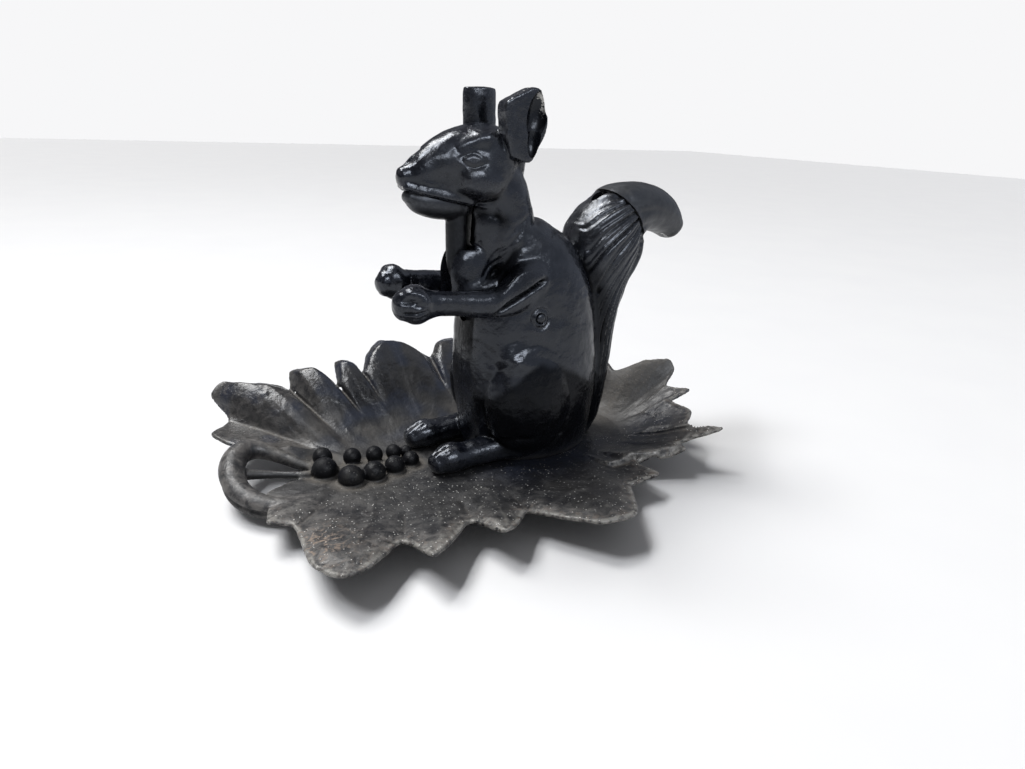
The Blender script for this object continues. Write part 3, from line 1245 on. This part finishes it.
FEET = [(0, 0), (-88, 46), (-88, -48), (66, -38), (66, 42)]                                 # X, Y
FOOT_R = 5.0


def edge_line(per_side):
    """The rim as a closed rounded line, and each point's place in corners from the first."""
    corners = np.array(LEAF_EDGE, float)
    count = len(corners)
    line, index = [], []
    for i in range(count):
        a, b, c, d = (corners[(i + k) % count] for k in (-1, 0, 1, 2))
        m0, m1 = 0.32 * (c - a), 0.32 * (d - b)
        for k in range(per_side):
            t = k / per_side
            line.append((2 * t**3 - 3 * t**2 + 1) * b + (t**3 - 2 * t**2 + t) * m0
                        + (-2 * t**3 + 3 * t**2) * c + (t**3 - t**2) * m1)
            index.append(i + t)
    return np.array(line), np.array(index)


def lobe_spans():
    """Start corner, length in corners, swell and overlap of each lobe."""
    for (start, swell, lap), after in zip(NOTCHES, NOTCHES[1:] + NOTCHES[:1]):
        yield start, (after[0] - start) % len(LEAF_EDGE), swell, lap


def lobe_shape(index):
    """Swell and overlap at each rim point, and its place across its lobe, -1 to 1."""
    swell, lap, across = np.zeros((3, len(index)))
    for start, length, lobe_swell, lobe_lap in lobe_spans():
        place = (index - start) % len(LEAF_EDGE)
        inside = place < length
        swell[inside] = lobe_swell
        lap[inside] = lobe_lap
        across[inside] = place[inside] / length * 2 - 1
    return swell, lap, across


def leaf_roots(edge, index):
    """The point on the midrib or its branch that each rim point's cross line starts from."""
    count = len(LEAF_EDGE)
    midrib = np.c_[np.clip(0.62 * edge[:, 0], -78, 70), np.zeros(len(edge))]
    before = index >= count - 8
    on_branch = before | (index <= 8)
    place = np.where(before, index, index + count)
    corner, root_x, root_y = np.array(BRANCH_ROOTS, float).T
    branch = np.c_[np.interp(place, count + corner, root_x),
                   np.interp(place, count + corner, root_y)]
    return np.where(on_branch[:, None], branch, midrib)


def leaf_veins(flat_points, edge, roots, per_side):
    """Height of a vein out to each lobe, with two short pairs of side veins."""
    veins = np.zeros(len(flat_points))
    for start, length, _, _ in lobe_spans():
        tip = (start + length / 2) % len(LEAF_EDGE)
        i = int(tip * per_side) % len(edge)
        a, b = roots[i], edge[i, :2]
        along_vein = b - a
        square = np.array([-along_vein[1], along_vein[0]])
        bend = a + along_vein * 0.5 + square * 0.05
        distance, along = to_line(flat_points, [a, bend, b])
        veins += 0.75 * (1 - 0.7 * along) * bell(distance, 1.3)
        for side in (-1, 1):
            for part in (0.45, 0.68):
                root = a + along_vein * part
                toward = unit(along_vein + side * 1.1 * square)
                end = root + toward * 0.22 * np.linalg.norm(along_vein)
                distance, along = to_line(flat_points, [root, end])
                veins += 0.35 * (1 - along) * bell(distance, 0.9)
    return np.minimum(veins, 1.0)


def beside_fold(x, y):
    """How far a point lies on the +Y side of the fold."""
    return y - np.interp(x, [a for a, _ in FOLD], [b for _, b in FOLD])


def leaf_form():
    """The leaf as rings of points from the midrib out to the rim, over the rim and back below."""
    per_side = 14
    rings = 110
    edge, index = edge_line(per_side)
    swell, lap, across = lobe_shape(index)
    n = len(edge)
    flat_edge = np.c_[edge[:, :2], np.zeros(n)]
    jitter = clouds(flat_edge, 5, 11) * 0.45 + clouds(flat_edge, 2.2, 12) * 0.2
    roots = leaf_roots(edge, index)
    out = unit(edge[:, :2] - roots)
    rim = edge[:, :2] + out * jitter[:, None]
    t = np.linspace(0, 1, rings) ** 0.85
    xy = roots[None] + (rim - roots)[None] * t[:, None, None]
    x, y = xy[..., 0], xy[..., 1]
    flat_points = xy.reshape(-1, 2)

    # share: 0 over the flat floor, 1 at the rim
    beyond = np.maximum(to_line(flat_points, FLAT_LINE)[0] - FLAT_R, 0).reshape(rings, n)
    left = (1 - t)[:, None] * np.linalg.norm(rim - roots, axis=1)[None]
    share = beyond / (beyond + left + 1e-6)
    far = step01(-10, 40, y) * 0.8
    shape = (1 - far) * share ** 1.25 + far * (0.2 * share + 0.8 * step01(0.0, 1.0, share))
    z = FLOOR_Z + (edge[:, 2] - FLOOR_Z)[None] * shape
    # lobes swell and overlap
    body = step01(0.3, 0.75, share) * (1 - 0.85 * step01(0.85, 1.0, share))
    z += (swell * (1 - np.abs(across) ** 2.4))[None] * body - (swell * 0.25)[None] * body
    z += ((-lap * across)[None] * step01(0.4, 0.8, share)
          * (1 - 0.55 * step01(0.9, 1.0, share)))
    noise_at = np.c_[flat_points, np.zeros(rings * n)]
    loose = step01(0.05, 0.35, share).ravel()
    uneven = 0.55 * clouds(noise_at, 16, 5) + 0.22 * clouds(noise_at, 6, 6)
    z += (loose * uneven).reshape(rings, n)
    # on the branch the first part of every cross line starts from one common height
    start = FLOOR_Z + 3.2 * np.clip(roots[:, 1] / BRANCH_END_Y, 0, 1) ** 1.5
    ease = step01(0.0, 0.4, t)[:, None]
    z = np.where((roots[:, 1] > 0)[None], start[None] * (1 - ease) + z * ease, z)
    z += (leaf_veins(flat_points, edge, roots, per_side) * loose).reshape(rings, n)
    # the -Y side folds over near +X: the rim beyond the fold lies lower
    distance = to_line(flat_points, FOLD)[0].reshape(rings, n)
    fade = step01(86, 72, x)
    below = step01(0.6, -0.6, beside_fold(x, y)) * step01(34, 44, x) * fade * (y < -30)
    z += 0.9 * bell(distance, 2.0) * (1 - below) * (x > 34) * fade
    z -= 2.6 * below * bell(distance, 16)

    thick = DISH_T - 1.2 * step01(0.6, 1.0, share)
    shells = [np.dstack([xy, z]).reshape(-1, 3)]
    half = thick[-1] / 2
    middle = z[-1] - half
    for k in range(1, 4):
        a = math.pi * k / 4
        shells.append(np.c_[rim + out * (half * math.sin(a) * 0.8)[:, None],
                            middle + half * math.cos(a)])
    shells.append(np.dstack([xy, z - thick])[::-1].reshape(-1, 3))
    faces = [(a, d, c, b) for a, b, c, d in bands(rings * 2 + 3, n)]
    return (np.vstack(shells), faces), edge


def hoop_groove():
    """The groove round the outer side of the finger loop."""
    groove = []
    for x, y, z, r in rounded([s for s in STEM if s[0] < -124 or s[1] < 0], 8):
        out = unit(np.array([x + 122.0, y - 10.0]))
        groove.append((x + 0.98 * r * out[0], y + 0.98 * r * out[1], z - 0.15 * r))
    return groove


def leaf_masks(leaf, edge):
    """Masks of the paint: far is towards +Y, front towards -Y."""
    points, up_part = points_of(leaf), normals_of(leaf)[:, 2]
    x, y, z = points.T
    flat = points[:, :2]
    ring = edge[::2, :2]
    near = to_line(flat, np.vstack([ring, ring[:1]]))[0]
    up = step01(0.1, 0.5, up_part)
    hollow = hollowness(leaf, 40)
    far, front = step01(18, 45, y), step01(-8, -26, y)
    cloud = clouds(points, 14, 21)
    berries = np.full(len(points), 1e9)
    for *centre, r in BERRIES:
        berries = np.minimum(berries, np.linalg.norm(points - centre, axis=1) - r)
    on_berry = step01(0.9, 0.3, berries) * step01(FLOOR_Z + 1.5, FLOOR_Z + 3.0, z)
    from_stem = to_line(points, [station[:3] for station in STEM])[0]
    on_loop = step01(10, 6.5, from_stem) * step01(-106, -112, x)
    from_groove = to_line(points, hoop_groove())[0]
    from_fold = to_line(flat, FOLD)[0]

    # dust round the berries, in hollows, along the far slope and at the +X end
    dust = 0.8 * step01(7, 1.0, berries) * (1 - on_berry) * up
    dust = np.maximum(dust, step01(0.25, 1.1, hollow) * 0.8 * up)
    slope = 0.32 * step01(20, 6, np.abs(y - 34)) * up * step01(-0.2, 0.5, cloud)
    dust = np.maximum(dust, slope)
    dust = np.maximum(dust, 0.55 * step01(36, 50, x) * step01(20, 0, np.abs(y - 8)) * up)
    attribute(leaf, "dust", dust)

    rust = 0.9 * bell(x + 118, 12) * bell(y + 62, 14) + 0.8 * bell(x - 80, 7) * bell(y - 66, 7)
    rust += 0.3 * front * step01(8, 0, near)
    attribute(leaf, "rust", rust * up)

    rim = (0.35 + 0.65 * front) * bell(near, 1.3) + 0.7 * step01(-0.15, -0.5, hollow) * front
    rim += 0.8 * bell(from_fold, 1.1) * step01(36, 42, x)
    attribute(leaf, "rim", np.clip(rim, 0, 1))

    speck = up * (0.12 + 0.88 * front) * step01(0.9, 0.2, far) * (1 - on_loop)
    attribute(leaf, "speck", speck)

    pale = 0.5 * far * step01(-72, -95, x) * step01(36, 20, near)
    pale += 0.6 * front * step01(14, 3, near) + 0.45 * front * step01(-60, -100, x)
    pale += 0.12 * far * step01(0.0, 0.6, cloud)
    pale = 0.9 * on_loop * (1 - bell(from_groove, 1.6)) + pale * up
    attribute(leaf, "pale", np.clip(pale, 0, 1) * (1 - on_berry))

    blue = far * step01(0.1, -0.4, cloud) + front * step01(-40, 0, x) * step01(-60, -30, y)
    attribute(leaf, "blue", np.clip(blue, 0, 1))

    sheen = 0.9 * far * step01(32, 14, near)
    sheen += 0.5 * front * step01(-30, 10, x) * step01(-62, -40, y)
    attribute(leaf, "sheen", np.clip(sheen, 0, 1) * up)

    under = step01(0.0, -1.5, beside_fold(x, y)) * step01(36, 44, x) * step01(-30, -40, y)
    black = on_berry + 0.7 * step01(0.3, -0.2, up_part) + 0.55 * under
    attribute(leaf, "black", np.clip(black + 0.9 * bell(from_groove, 1.4), 0, 1))


def build_leaf():
    leaf_shell, edge = leaf_form()
    # bars along the midrib and its branch close the seam where the cross lines meet
    bar_half = (1.7, 2.4)
    branch_bar = [(-66, 0, FLOOR_Z - 1.9, *bar_half), (-80, 15, FLOOR_Z - 0.6, *bar_half),
                  (-93, 29, FLOOR_Z + 1.3, *bar_half)]
    forms = [leaf_shell, block((-84, -2.2, FLOOR_Z - DISH_T), (76, 2.2, FLOOR_Z - 0.02)),
             loft(branch_bar, 24, 3)]
    for x, y in FEET:
        forms.append(drum((x, y, 2.5), FOOT_R, 13, "Z", 64, FOOT_R + 2.0))
    forms.append(loft([(x, y, z, r, r * 1.02) for x, y, z, r in STEM], 32, 8))
    forms.append(loft([(x, y, z, r, r) for x, y, z, r in STEM_VEIN], 24, 6))
    for k, (x, y, z, r) in enumerate(BERRIES):
        forms.append(ball((x, y, z), (r, r, r * 0.95), 11.0 * k, 7.0 * k))
    leaf = melted("leaf", forms, LEAF_CELL, 1)
    keep_biggest(leaf)
    points, normals = points_of(leaf), normals_of(leaf)
    set_points(leaf, points - normals * (1.8 * near_line(points, hoop_groove(), 1.5))[:, None])
    # the narrow tips are worn smooth
    tips = (points[:, 0] > 86) & (points[:, 1] < -28)
    soften_where(leaf, tips.astype(float), times=9)
    cut(leaf, block((-200, -200, -20), (200, 200, 0)))
    for x, y in TRAY_SCREWS.values():
        cut(leaf, drum((x, y, 8), SCREW_HOLE_R + 0.1, 20, "Z"))
    smooth_shaded(leaf, 60)
    leaf_masks(leaf, edge)
    dress(leaf, LEAF_PAINT)
    leaf.name = "leaf_dish"
    mount(leaf, "leaf_tray", "stand")


# ---------------------------------------------------------------- floor, light and camera, metres


def build_floor():
    mesh = bpy.data.meshes.new("floor")
    bm = bmesh.new()
    bmesh.ops.create_grid(bm, x_segments=2, y_segments=2, size=4.0)
    bm.to_mesh(mesh)
    bm.free()
    floor = bpy.data.objects.new("floor", mesh)
    floor.location = (0, 0, -0.0003)
    bpy.context.scene.collection.objects.link(floor)
    n = Nodes("pale_floor")
    grey, light_grey = (0.76, 0.76, 0.77), (0.80, 0.80, 0.80)
    n.put("Base Color", n.mix(n.noise(size=90, detail=3), grey, light_grey))
    n.put("Roughness", n.blend(n.noise(size=25, detail=3), under=0.55, over=0.65))
    mesh.materials.append(n.material)


def build_world():
    """Near white to the camera, flat grey to diffuse rays, a soft gradient to reflections."""
    camera_white = (0.93, 0.93, 0.94)
    diffuse_grey = (0.21, 0.21, 0.215)
    bright_side = (0.60, -0.72, 0.36)
    gradient = ((0.0, (0.17, 0.175, 0.20, 1)), (0.75, (0.60, 0.65, 0.76, 1)))
    world = bpy.data.worlds.new("studio")
    bpy.context.scene.world = world
    world.use_nodes = True
    tree = world.node_tree
    back = tree.nodes["Background"]
    # the colour socket's own value, which shows only if its link is taken away
    back.inputs[0].default_value = (0.62, 0.70, 0.86, 1)
    back.inputs[1].default_value = 0.9
    seen = add_node(tree, "Background", {0: camera_white, 1: 1.0})
    path = add_node(tree, "LightPath", {})
    coord = add_node(tree, "TexCoord", {})
    side = add_node(tree, "VectorMath", {0: coord.outputs["Generated"], 1: bright_side},
                    operation="DOT_PRODUCT")
    ramp = add_node(tree, "ValToRGB", {0: side.outputs["Value"]})
    ramp.color_ramp.interpolation = "EASE"
    for element, (position, colour) in zip(ramp.color_ramp.elements, gradient):
        element.position = position
        element.color = colour
    soft = add_node(tree, "Mix", {0: path.outputs["Is Diffuse Ray"], 6: ramp.outputs[0],
                                  7: diffuse_grey}, data_type="RGBA")
    tree.links.new(soft.outputs[2], back.inputs[0])
    mix = add_node(tree, "MixShader", {0: path.outputs["Is Camera Ray"], 1: back.outputs[0],
                                       2: seen.outputs[0]})
    tree.links.new(mix.outputs[0], tree.nodes["World Output"].inputs[0])


def lamp(name, kind, place, aim, energy, colour, size=None, spread=None):
    """A rectangular area light of this size, or a sun with this spread in degrees."""
    light = bpy.data.lights.new(name, kind)
    if kind == "AREA":
        light.shape = "RECTANGLE"
        light.size, light.size_y = size
    else:
        light.angle = math.radians(spread)
    light.energy = energy
    light.color = colour
    obj = bpy.data.objects.new(name, light)
    obj.location = place
    obj.rotation_euler = (Vector(aim) - Vector(place)).to_track_quat("-Z", "Y").to_euler()
    bpy.context.scene.collection.objects.link(obj)
    return obj


def build_lights():
    origin, squirrel_foot = (0, 0, 0), (0, 0, 0.08)
    lamp("room", "SUN", place=(-0.5, 1.3, 2.1), aim=origin, energy=2.1,
         colour=(1.0, 0.99, 0.97), spread=24)
    lamp("room_second", "SUN", place=(-1.1, 0.5, 1.9), aim=origin, energy=1.2,
         colour=(0.97, 0.98, 1.0), spread=16)
    lamp("tube_back", "AREA", place=(-0.35, 0.35, 1.25), aim=squirrel_foot, energy=6.0,
         colour=(0.95, 0.97, 1.0), size=(1.0, 0.07))
    front = lamp("tube_front", "AREA", place=(-0.10, -1.12, 1.05), aim=squirrel_foot,
                 energy=15.0, colour=(0.92, 0.95, 1.0), size=(1.15, 0.34))
    front.visible_diffuse = False


def build_camera():
    camera = bpy.data.cameras.new("camera")
    camera.sensor_width = 36.0
    camera.lens = 24.0936585
    camera.clip_start = 0.01
    obj = bpy.data.objects.new("camera", camera)
    about_z, about_y, about_x = (
        Matrix.Rotation(math.radians(degrees), 4, axis)
        for degrees, axis in ((-30.331, "Z"), (-2.2844, "Y"), (68.8334, "X")))
    place = Matrix.Translation((-0.17847, -0.30943, 0.18499))
    obj.matrix_world = place @ (about_z @ about_y @ about_x)
    bpy.context.scene.collection.objects.link(obj)
    bpy.context.scene.camera = obj


build_squirrel()
build_lever()
build_fasteners()
build_leaf()
bpy.context.scene.view_settings.view_transform = "Standard"
bpy.context.scene.view_settings.look = "None"
build_floor()
build_world()
build_lights()
build_camera()
